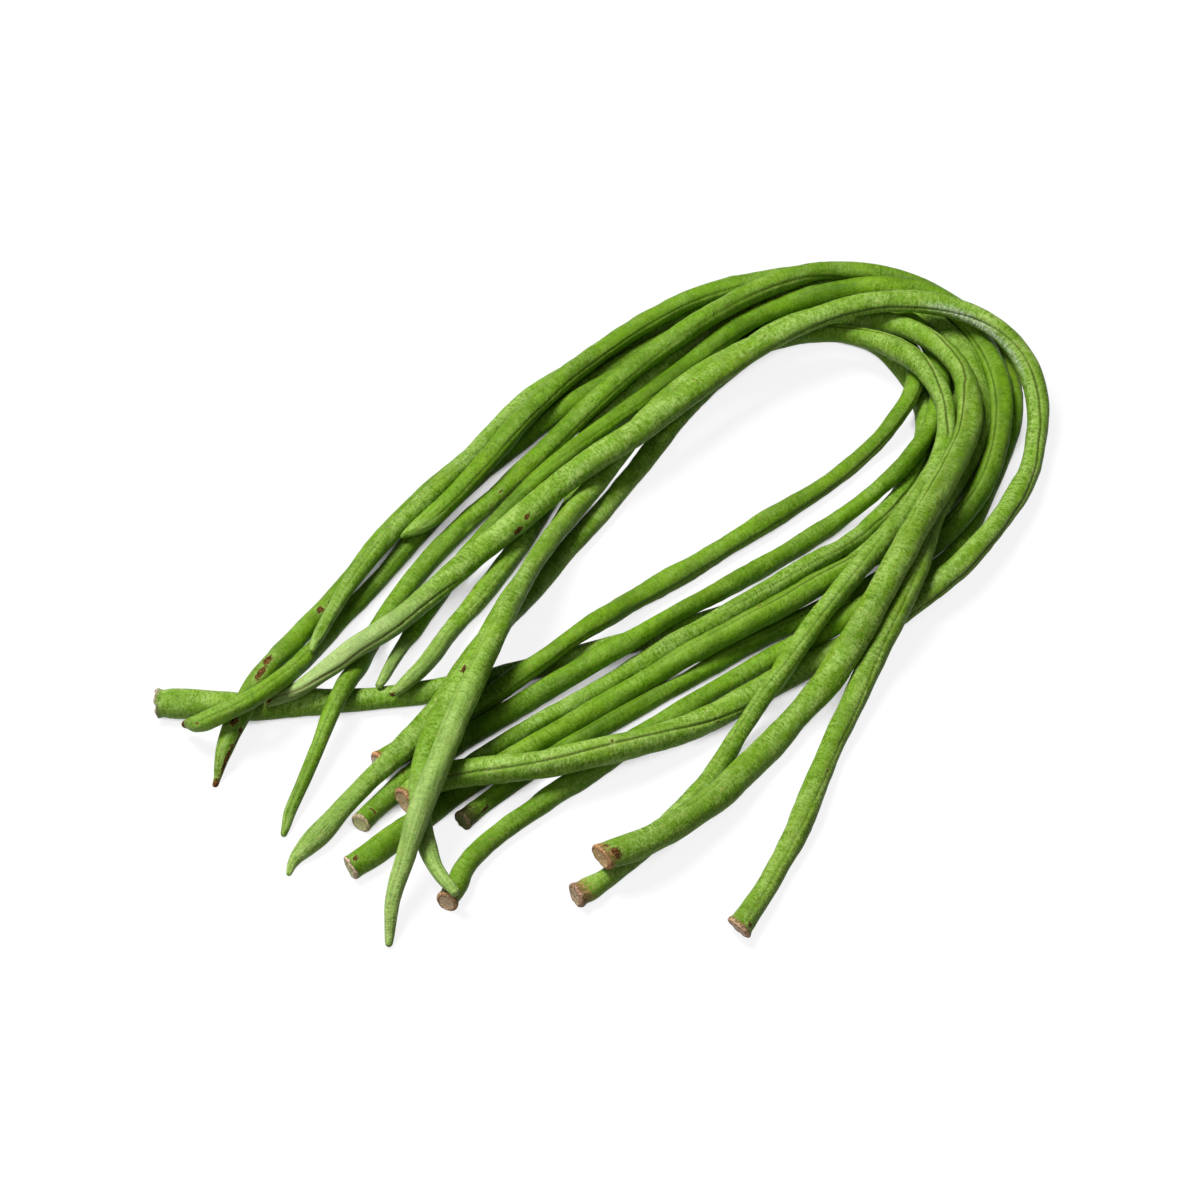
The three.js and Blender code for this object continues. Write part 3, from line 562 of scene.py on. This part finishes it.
def laid_out(node, look):
    """Length of a pod and its stations, with its centreline and radius at each."""
    centres, radii = cad_rings(node)
    steps = np.linalg.norm(np.diff(centres, axis=0), axis=1)
    knots = np.concatenate([[0], np.cumsum(steps)])
    length = knots[-1]
    stations = stations_of(length, look["reach"])
    middle = spline(knots, centres, stations)
    plain = knots < length - CAD_TAPER
    cad_radius = np.interp(stations, knots[plain], radii[plain])
    shift, radius = own_shape(look, length, stations, cad_radius)

    # moved level with the table, and sunk or raised to keep lying on it
    travel, left, _ = axes_along(middle, stations)
    sink = (cad_radius - radius) * (1 - eased((middle[:, 2] - cad_radius - LYING) / LYING_FADE))
    level = unit(np.cross((0, 0, 1), travel))
    sideways = (shift + sink * left[:, 2]) / (level * left).sum(axis=1)
    middle = middle + level * sideways[:, None]
    middle[:, 2] -= sink
    return length, stations, middle, radius


class Skin:
    """Skin of one pod. Its fields have a row for each station along it and a column for each side."""

    def __init__(self, node, look, seed):
        self.look = look
        self.rng = np.random.default_rng(seed)
        self.length, self.stations, self.middle, radius = laid_out(node, look)
        self.travel, self.left, self.front = axes_along(self.middle, self.stations)
        self.from_cut = self.stations + look["reach"]
        self.radius = self.rounded(radius)
        # relief gets weaker where the pod is thin, and right behind the cut
        self.narrow = np.clip(self.radius / self.radius.max(), .15, 1)[:, None]
        self.calm = np.clip(self.from_cut / 4, .2, 1)
        # angles round the pod: theta from the suture, and phi from the viewer's side
        turn = np.arange(SIDES) / SIDES * 2 * math.pi
        self.theta = turn - CROWDING / 2 * np.sin(2 * turn)
        self.suture, self.suture_strength = self.path(look["creases"][0])
        self.phi = self.suture[:, None] + self.theta[None, :]
        self.fields = self.creases()
        self.fields["scar"] = self.spots(look.get("scars", []))
        # patches of painted highlight, nearly white, on waxy skin
        self.fields["wax_highlight"] = self.spots(look.get("wax_highlight", []))
        valley = self.fields.pop("valley")      # not needed by the material
        self.rings = self.surface(self.swellings(), valley)

    def path(self, path):
        return along_path(path, self.stations, self.length)

    def across(self, angle):
        """Millimetres round the pod from the line at this angle."""
        return wrapped(self.phi - angle) * self.radius[:, None]

    def rounded(self, radius):
        """The radius with the rounded end of the tip, and with the corky rim and the neck at the cut."""
        knob, from_cut = self.look["knob"], self.from_cut
        to_cap = np.clip((self.length - self.stations) / CAP_LENGTH, 0, 1)
        radius = radius * np.sqrt(np.clip(1 - (1 - to_cap) ** 2, BLUNTNESS, 1))
        radius = radius + knob * bell(from_cut - RIM_PLACE, RIM_WIDTH)
        radius = radius - .5 * knob * bell(from_cut - NECK_PLACE, NECK_WIDTH)
        into_rim = np.clip(1 - from_cut / RIM_ROUNDING, 0, 1)
        return radius - RIM_ROUNDING * (1 - np.sqrt(1 - into_rim ** 2))

    def creases(self):
        """Creases, broken up along the pod, with the valley they lie in, their lips and the dark lobe, olive
        tone with painted shade.
        """
        fade = np.clip((self.length - self.stations) / CREASE_FADE, 0, 1) * self.calm
        change = bumpy(self.rng, self.stations, np.zeros(1), CREASE_BREAKS, 1)[:, 0]
        broken = 1 - CREASE_CHANGE + CREASE_CHANGE * np.tanh(change)
        fields = {name: np.zeros_like(self.phi) for name in ("seam", "valley", "lip", "lobe")}

        def add(name, amount):
            fields[name] = np.maximum(fields[name], amount)

        lines = [self.path(path) for path in self.look["creases"]]
        lines.append((self.suture + math.pi, TWIN_STRENGTH * (1.4 - self.suture_strength)))
        for number, (line, strength) in enumerate(lines):
            across = self.across(line[:, None])
            power = (np.clip(strength, 0, 1) ** 1.6 * fade * broken)[:, None]
            add("seam", power * bell(across, CREASE_WIDTH))
            add("valley", power * bell(across, VALLEY_WIDTH))
            add("lip", power * bell(np.abs(across) - LIP_PLACE, LIP_WIDTH))
            # the lobe beside the suture: olive tone with painted shade
            if number == 0 and self.look["dark_side"]:
                add("lobe", power * bell(across * self.look["dark_side"] - LOBE_PLACE, LOBE_WIDTH))
        # one more broad band of painted shade
        if "shade" in self.look:
            line, strength = self.path(self.look["shade"])
            add("lobe", np.clip(strength, 0, 1)[:, None] * bell(self.across(line[:, None]), SHADE_WIDTH))
        return fields

    def swellings(self):
        """Height of the seeds, between the sutures, and of the bumps all over."""
        rng, s = self.rng, self.stations[:, None]
        sine = np.sin(self.theta)[None, :]
        count = int(self.length / SEED_SPACING[0])
        seeds = np.cumsum(rng.uniform(*SEED_SPACING, size=count)) + FIRST_SEED
        seeds = seeds[seeds < self.length - LAST_SEED]
        heights = rng.uniform(.5, 1, size=len(seeds)) * SEED_HEIGHT * self.look["bumps"]
        valve_side = rng.choice([-1.0, 1.0], size=len(seeds))
        swell = np.zeros_like(self.phi)
        for at, height, side in zip(seeds, heights, valve_side):
            valve = sine ** 2 * (.65 + .35 * side * np.sign(sine))
            swell += height * bell(s - at, SEED_LENGTH) * valve
        for wavelength, turns, height in SWELLS:
            phase = rng.uniform(0, 2 * math.pi)
            swell += height * np.cos(2 * math.pi * s / wavelength + turns * self.theta[None, :] + phase)
        for spacing, cells, height in WRINKLES:
            swell += height * bumpy(rng, self.stations, self.theta, spacing, cells)
        return swell

    def spots(self, listed):
        """How strongly each place is inside one of the listed patches."""
        result = np.zeros_like(self.phi)
        for share, offset, long, wide, depth in listed:
            ahead = self.stations[:, None] - share * self.length
            spot = depth * np.exp(-(ahead / long) ** 2 - (self.across(angle_of(offset)) / wide) ** 2)
            result = np.maximum(result, spot)
        return result

    def surface(self, swell, valley):
        """The skin's rings, from a slightly slanted and ragged cut to the tip."""
        seam, lip, scar = (self.fields[name] for name in ("seam", "lip", "scar"))
        relief = LIP_HEIGHT * lip - CREASE_DEPTH * seam - VALLEY_DEPTH * valley - SCAR_DENT * scar
        r = self.radius[:, None] * (1 + OVAL * np.cos(2 * self.theta)[None, :])
        r = r + swell * self.narrow * self.calm[:, None] + relief * self.narrow
        lift = r * np.cos(self.phi)
        aside = r * np.sin(self.phi)
        to_viewer, to_left = self.look["cut_tilt"]
        slant = (lift * to_viewer + aside * to_left) * np.exp(-self.from_cut / SLANT_FADE)[:, None]
        uniform = self.rng.uniform
        notch = sum(uniform(.3, 1) * np.cos(waves * self.theta + uniform(0, 6.3)) for waves in NOTCHES)
        ragged = self.look["ragged"] * np.exp(-self.from_cut / RAGGED_FADE)[:, None]
        slant = slant + ragged * notch[None, :] / 2.4
        return (self.middle[:, None, :] + self.front[:, None, :] * lift[..., None]
                + self.left[:, None, :] * aside[..., None] + self.travel[:, None, :] * slant[..., None])

    def cut_face(self):
        """The dished and rough face of the cut: its middle, and the rings inside the skin's first one."""
        rough = self.rng.normal(0, FACE_BUMPS, size=(len(FACE_RINGS), SIDES))
        edge = self.rings[0]
        centre = edge.mean(axis=0) + self.travel[0] * FACE_DISH
        face = []
        for (inner, _), bumps in zip(FACE_RINGS, rough):
            flat = centre + (edge - edge.mean(axis=0)) * inner
            dish = FACE_DISH * (inner ** 4) + bumps
            face.append(flat - self.travel[0][None, :] * dish[:, None])
        return centre, np.array(face)

    def laid_straight(self):
        """Where each vertex is when the pod is laid out straight, for the material's patterns."""
        cos, sin = np.cos(self.theta), np.sin(self.theta)
        r = self.radius[:, None]
        skin = np.stack([self.stations[:, None] + 0 * self.phi, r * cos, r * sin], axis=2)
        face = [np.stack([0 * cos - FACE_AHEAD, r[1] * inner * cos, r[1] * inner * sin], axis=1)
                for inner, _ in FACE_RINGS]
        return np.concatenate([np.array(face), skin])

    def mesh(self, name):
        """Mesh of the skin, with what its material needs to know at each vertex."""
        paling = self.look.get("paling", PALING)
        on_skin = {**self.fields, "face": 0,
                   "stain": np.clip(1 - self.from_cut / self.look["stain"], 0, 1)[:, None],
                   "rim": bell(self.from_cut, RIM_SHOWN)[:, None],
                   "tip": np.clip(1 - (self.length - self.stations) / paling, 0, 1)[:, None]}
        shown = np.array([share for _, share in FACE_RINGS])[:, None]
        on_face = {"stain": 1, "rim": 1, "face": shown}
        centre, face = self.cut_face()
        end = self.middle[-1] + self.travel[-1] * (self.length - self.stations[-1])
        mesh = closed_tube(name, centre, np.concatenate([face, self.rings]), end)
        for key, field in on_skin.items():
            field = field + 0 * self.phi
            inside = np.zeros((len(FACE_RINGS), SIDES)) + on_face.get(key, 0)
            attribute = mesh.attributes.new(key, "FLOAT", "POINT")
            attribute.data.foreach_set("value", np.concatenate([
                [key in on_face], inside.reshape(-1), field.reshape(-1), [key == "tip"]]))
        lay = self.laid_straight()
        flat = np.concatenate([[lay[0].mean(axis=0)], lay.reshape(-1, 3), [lay[-1].mean(axis=0)]])
        mesh.attributes.new("lay", "FLOAT_VECTOR", "POINT").data.foreach_set("vector", flat.reshape(-1))
        mesh.validate()
        mesh.update()
        return mesh


def closed_tube(name, stem, rings, tip):
    """Smooth mesh through rings in millimetres, closed by a fan of triangles to a point at either end."""
    vertices = np.concatenate([[stem], rings.reshape(-1, 3), [tip]])
    vertices[:, 2] = np.maximum(vertices[:, 2], 0)
    vertices *= MM
    around = np.arange(SIDES)
    after = (around + 1) % SIDES
    faces = [(0, 1 + a, 1 + b) for a, b in zip(around, after)]
    for here in range(1, 1 + (len(rings) - 1) * SIDES, SIDES):
        there = here + SIDES
        faces += zip(here + around, there + around, there + after, here + after)
    last = 1 + (len(rings) - 1) * SIDES
    end = len(vertices) - 1
    faces += [(end, last + b, last + a) for a, b in zip(around, after)]
    mesh = bpy.data.meshes.new(name)
    mesh.from_pydata(vertices.tolist(), [], [[int(i) for i in face] for face in faces])
    mesh.shade_smooth()
    return mesh


# ---- material ----

# deep green: the pod's own darker tone, and painted shade in the furrows and grooves
DEEP_GREEN_AND_SHADE = (.06, .145, .002)
LEAF_GREEN = (.142, .305, .003)
YELLOW_GREEN = (.215, .365, .006)
# pale whitish bloom, which also carries painted sheen and highlight
BLOOM_AND_SHEEN = (.42, .60, .165)
# nearly white painted highlight on waxy skin
WAX_HIGHLIGHT_WHITE = (.72, .80, .66)
# olive tone of the lobe beside the suture, with painted shade
OLIVE_AND_SHADE = (.07, .12, .004)
SEAM_DARK = (.055, .078, .010)
LIP_PALE = (.30, .45, .09)
# paler tip tone, with painted highlight on the ridges between its grooves
TIP_PALE_AND_HIGHLIGHT = (.36, .52, .14)
TIP_WHITE = (.48, .61, .27)
RUST = (.15, .065, .013)
SCORCH = (.045, .02, .007)
SPECK = (.035, .06, .004)

BUMP_DISTANCE = .0007   # metres, as is the scattering's
SCATTER_DISTANCE = .001


class Nodes:
    """Short calls for building a node tree."""

    def __init__(self, block):
        block.use_nodes = True
        self.tree = block.node_tree
        self.tree.nodes.clear()

    def add(self, kind, inputs=None, **settings):
        made = self.tree.nodes.new(kind)
        for name, value in settings.items():
            setattr(made, name, value)
        for key, value in (inputs or {}).items():
            if isinstance(value, bpy.types.NodeSocket):
                self.tree.links.new(value, made.inputs[key])
            else:
                made.inputs[key].default_value = value
        return made

    def span(self, value, low, high, to_low=0.0, to_high=1.0):
        """Smooth step of a value from low to high."""
        made = self.add("ShaderNodeMapRange", {
            "Value": value, "From Min": low, "From Max": high, "To Min": to_low, "To Max": to_high},
            interpolation_type="SMOOTHSTEP")
        return made.outputs[0]

    def math(self, operation, a, b):
        return self.add("ShaderNodeMath", {0: a, 1: b}, operation=operation).outputs[0]

    def times(self, a, b):
        return self.math("MULTIPLY", a, b)

    def plus(self, a, b):
        return self.math("ADD", a, b)

    def mix(self, factor, a, b):
        a = a if isinstance(a, bpy.types.NodeSocket) else (*a, 1)
        b = b if isinstance(b, bpy.types.NodeSocket) else (*b, 1)
        return self.add("ShaderNodeMix", {0: factor, 6: a, 7: b}, data_type="RGBA").outputs[2]


class PodNodes(Nodes):
    """The same for a pod, with patterns as on one laid out straight, in millimetres."""

    def __init__(self, block, seed):
        super().__init__(block)
        self.seed = seed
        self.lay = self.read("lay", "Vector")

    def read(self, name, output="Fac"):
        """What the mesh says at each place."""
        node = self.add("ShaderNodeAttribute", attribute_name=name, attribute_type="GEOMETRY")
        return node.outputs[output]

    def placed(self, scale, shift=(37, 11, 5)):
        """Places on the pod, scaled to features per millimetre, and moved on for each pod."""
        location = tuple(self.seed * step for step in shift)
        inputs = {"Vector": self.lay, "Scale": scale, "Location": location}
        return self.add("ShaderNodeMapping", inputs).outputs[0]

    def noise(self, scale, detail=2.0, roughness=.55, distortion=0.0, shift=(37, 11, 5)):
        return self.add("ShaderNodeTexNoise", {
            "Vector": self.placed(scale, shift), "Scale": 1.0, "Detail": detail, "Roughness": roughness,
            "Distortion": distortion}).outputs[0]


def blended(a, b, share):
    return tuple(x + (y - x) * share for x, y in zip(a, b))


def green(n, look):
    """Broad patches of deeper and yellower green, deepest on pods lying low in the bunch (own tone with
    painted shade), and a mottling of darker flecks.
    """
    patch = n.noise((.045, .11, .11), 3.0)
    # how far the green deepens is set per pod: its own tone, with painted shade for pods that lie low in the
    # bunch
    color = n.mix(n.span(patch, .36, .64), blended(LEAF_GREEN, DEEP_GREEN_AND_SHADE, look["deep"]), LEAF_GREEN)
    warm = n.noise((.03, .08, .08), shift=(11, 5, 37))
    color = n.mix(n.span(warm, .5, .75, 0, .5), color, YELLOW_GREEN)
    mottle = n.noise((.3, .24, .24), 3.0, .65, .2, shift=(5, 11, 37))
    return n.mix(n.span(mottle, .54, .34, 0, .4), color, DEEP_GREEN_AND_SHADE)


def wrinkled(n, look, color):
    """Fine wrinkles across the pod: bloom and painted highlight on crests, painted shade in furrows, and
    painted highlight on waxy patches.
    """
    wrinkle = n.noise((.85, .3, .3), 2.0, .55, .3)
    grain = n.noise((1.7, 1.1, 1.1), 2.5, .65)
    rough = n.span(n.noise((.05, .12, .12), shift=(11, 37, 5)), .38, .62, .35, 1)
    relief = n.plus(n.times(wrinkle, .4), n.times(grain, .6))
    crest = n.span(relief, .42, .62)
    crowded = n.noise((.09, .2, .2), shift=(5, 37, 11))
    bloom_and_sheen = look["bloom_and_sheen"]
    # pale bloom with painted highlight on the crests, and broad patches of bloom with painted sheen
    color = n.mix(n.times(crest, n.span(crowded, .35, .68, bloom_and_sheen * .35, bloom_and_sheen)), color, BLOOM_AND_SHEEN)
    color = n.mix(n.span(crowded, .4, .7, bloom_and_sheen * .05, bloom_and_sheen * .34), color, BLOOM_AND_SHEEN)
    # painted shade in the furrows of the wrinkles
    furrow = n.times(n.span(relief, .5, .36), n.times(rough, .7))
    color = n.mix(furrow, color, DEEP_GREEN_AND_SHADE)
    # patches of painted highlight, nearly white, on waxy skin
    color = n.mix(n.times(n.read("wax_highlight"), n.span(relief, .42, .56, .25, 1)), color, WAX_HIGHLIGHT_WHITE)
    height = n.plus(n.times(n.times(wrinkle, rough), .68), n.times(grain, .5))
    return color, height, crest


def specked(n, color):
    """Small dark specks."""
    dots = n.add("ShaderNodeTexVoronoi", {"Vector": n.placed((.16, .16, .16)), "Scale": 1.0})
    pick = n.add("ShaderNodeSeparateColor", {0: dots.outputs["Color"]}).outputs[0]
    speck = n.times(n.span(dots.outputs["Distance"], .07, .03), n.math("GREATER_THAN", pick, .6))
    return n.mix(n.times(speck, .65), color, SPECK)


def creased(n, color):
    """The suture: a dark line between pale lips, with the lobe beside it, olive tone with painted shade."""
    # the lobe beside the suture, olive tone with painted shade, and the broad band of painted shade
    color = n.mix(n.times(n.read("lobe"), .45), color, OLIVE_AND_SHADE)
    color = n.mix(n.times(n.read("lip"), .35), color, LIP_PALE)
    return n.mix(n.span(n.read("seam"), .1, .8, 0, .85), color, SEAM_DARK)


def tipped(n, look, color):
    """The tip: paler, with grooves running along it, painted highlight on their ridges and painted shade in
    them.
    """
    tip = n.read("tip")
    groove = n.noise((.05, 1.1, 1.1))
    # paler tone on the ridges between the grooves, with painted highlight
    color = n.mix(n.times(n.span(tip, .1, 1, 0, .65), n.span(groove, .38, .66)), color, TIP_PALE_AND_HIGHLIGHT)
    # painted shade in the grooves
    color = n.mix(n.times(n.span(tip, .1, 1, 0, .3), n.span(groove, .46, .34)), color, DEEP_GREEN_AND_SHADE)
    if "blanch" in look:
        near = n.span(tip, 0, .6)
        color = n.mix(n.times(near, look["blanch"]), color, TIP_WHITE)
        # the lobe beside the suture near the tip: olive tone with painted shade
        color = n.mix(n.times(near, n.times(n.read("lobe"), .6)), color, OLIVE_AND_SHADE)
        color = n.mix(n.times(near, n.span(n.read("seam"), .15, .6, 0, look["blanch"])), color, RUST)
    return color, n.times(n.times(groove, tip), .45)


def scarred(n, color, fleck):
    """Scars, brown and uneven, each with a pale ring."""
    scar = n.read("scar")
    color = n.mix(n.times(n.span(scar, .04, .25), .45), color, LIP_PALE)
    inside = n.span(n.plus(scar, n.span(fleck, .3, .7, -.28, .28)), .38, .56)
    return n.mix(inside, color, n.mix(n.span(fleck, .4, .6), SCORCH, RUST)), inside


def cut(n, look, color, fleck):
    """The cut end: a stain creeping up the pod, the corky rim, and the face."""
    stained = n.span(n.plus(n.read("stain"), n.span(fleck, .3, .7, -.3, .3)), .1, .62, 0, .95)
    blotch = n.mix(n.span(fleck, .42, .6), blended(look["mark"], SCORCH, .6), look["mark"])
    color = n.mix(stained, color, blotch)
    corky = n.span(n.plus(n.read("rim"), n.span(fleck, .3, .7, -.25, .25)), .35, .6)
    cork = n.mix(n.span(fleck, .42, .6), blended(look["rim"], SCORCH, .45), look["rim"])
    color = n.mix(corky, color, cork)
    pith = n.mix(n.span(fleck, .4, .62), blended(look["face"], look["rim"], .3), look["face"])
    return n.mix(n.span(n.read("face"), .4, .9), color, pith), corky


def pod_material(name, look, seed):
    material = bpy.data.materials.new(name)
    n = PodNodes(material, seed)
    fleck = n.noise((1.1, 1.1, 1.1), 3.0, .65)
    color, height, crest = wrinkled(n, look, green(n, look))
    color = creased(n, specked(n, color))
    color, grooves = tipped(n, look, color)
    color, scar = scarred(n, color, fleck)
    color, corky = cut(n, look, color, fleck)

    height = n.plus(height, grooves)
    height = n.math("SUBTRACT", height, n.times(scar, n.times(fleck, .8)))
    height = n.plus(height, n.times(corky, n.times(fleck, .8)))
    bump = n.add("ShaderNodeBump", {"Height": height, "Strength": 1.0, "Distance": BUMP_DISTANCE})
    dull = n.times(n.math("MAXIMUM", scar, corky), .85)
    gloss = n.math("MAXIMUM", n.span(crest, 0, 1, .48, .58), dull)
    shader = n.add("ShaderNodeBsdfPrincipled", {
        "Base Color": color, "Roughness": gloss, "Normal": bump.outputs[0], "IOR": 1.45,
        "Specular IOR Level": .12, "Subsurface Weight": .08, "Subsurface Radius": (.5, 1.0, .1),
        "Subsurface Scale": SCATTER_DISTANCE})
    n.add("ShaderNodeOutputMaterial", {"Surface": shader.outputs[0]})
    return material


for number, (node, look) in enumerate(PODS.items(), start=1):
    mesh = Skin(node, look, number).mesh(node + "_skin")
    mesh.materials.append(pod_material(node + "_skin", look, number))
    skin = bpy.data.objects.new(node + "_skin", mesh)
    bpy.context.scene.collection.objects.link(skin)
    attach(skin, "root")
    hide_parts(node)

# ---- floor, lights and world ----

FLOOR_HALF = 4.0
FLOOR_SEEN = .95        # the floor's own colour where the camera sees it
FLOOR_LIT = .28         # and where it throws light back at the pods
FLOOR_GLOW = .88        # share of plain white that the camera sees; the rest keeps the shadow
SLIT_DEPTH = .012       # the floor counts as closed in when pods stand this near
SLIT_SKY = (.06, .28)   # open shares of the sky between which the glow comes in
WORLD_LEVEL = .085


def make_floor():
    corners = [(-1, -1), (1, -1), (1, 1), (-1, 1)]
    mesh = bpy.data.meshes.new("floor")
    mesh.from_pydata([(x * FLOOR_HALF, y * FLOOR_HALF, 0) for x, y in corners], [], [(0, 1, 2, 3)])
    floor = bpy.data.objects.new("floor", mesh)
    bpy.context.scene.collection.objects.link(floor)
    material = bpy.data.materials.new("floor_white")
    n = Nodes(material)
    path = n.add("ShaderNodeLightPath")
    seen = n.math("MAXIMUM", path.outputs["Is Camera Ray"], path.outputs["Is Glossy Ray"])
    seen = n.math("MAXIMUM", seen, path.outputs["Is Transmission Ray"])
    diffuse = n.add("ShaderNodeBsdfDiffuse", {"Color": n.mix(seen, (FLOOR_LIT,) * 3, (FLOOR_SEEN,) * 3)})
    glow = n.add("ShaderNodeEmission", {"Color": (1, 1, 1, 1), "Strength": 1.0})
    open_sky = n.add("ShaderNodeAmbientOcclusion", {"Distance": SLIT_DEPTH}, samples=8).outputs["AO"]
    glowing = n.times(seen, n.span(open_sky, *SLIT_SKY, 0, FLOOR_GLOW))
    both = n.add("ShaderNodeMixShader", {0: glowing, 1: diffuse.outputs[0], 2: glow.outputs[0]})
    n.add("ShaderNodeOutputMaterial", {"Surface": both.outputs[0]})
    mesh.materials.append(material)


def make_world():
    """A plain level of light from all round, and white where the camera looks past the floor."""
    world = bpy.data.worlds.new("world")
    bpy.context.scene.world = world
    n = Nodes(world)
    path = n.add("ShaderNodeLightPath")
    light = n.add("ShaderNodeBackground", {"Color": (1, 1, 1, 1), "Strength": WORLD_LEVEL})
    backdrop = n.add("ShaderNodeBackground", {"Color": (1, 1, 1, 1), "Strength": 1.0})
    both = n.add("ShaderNodeMixShader", {
        0: path.outputs["Is Camera Ray"], 1: light.outputs[0], 2: backdrop.outputs[0]})
    n.add("ShaderNodeOutputWorld", {"Surface": both.outputs[0]})


def make_light(name, azimuth, elevation, distance, size, power):
    """A round soft lamp that shines at the bunch from these angles."""
    data = bpy.data.lights.new(name, "AREA")
    data.shape = "DISK"
    data.size = size
    data.energy = power
    place(bpy.data.objects.new(name, data), Vector(), azimuth, elevation, distance)


make_floor()
make_world()
make_light("key", azimuth=213, elevation=68, distance=1.6, size=.6, power=33)
make_light("fill", azimuth=-68, elevation=42, distance=1.8, size=1.2, power=6.5)

bpy.context.scene.view_settings.view_transform = "Standard"
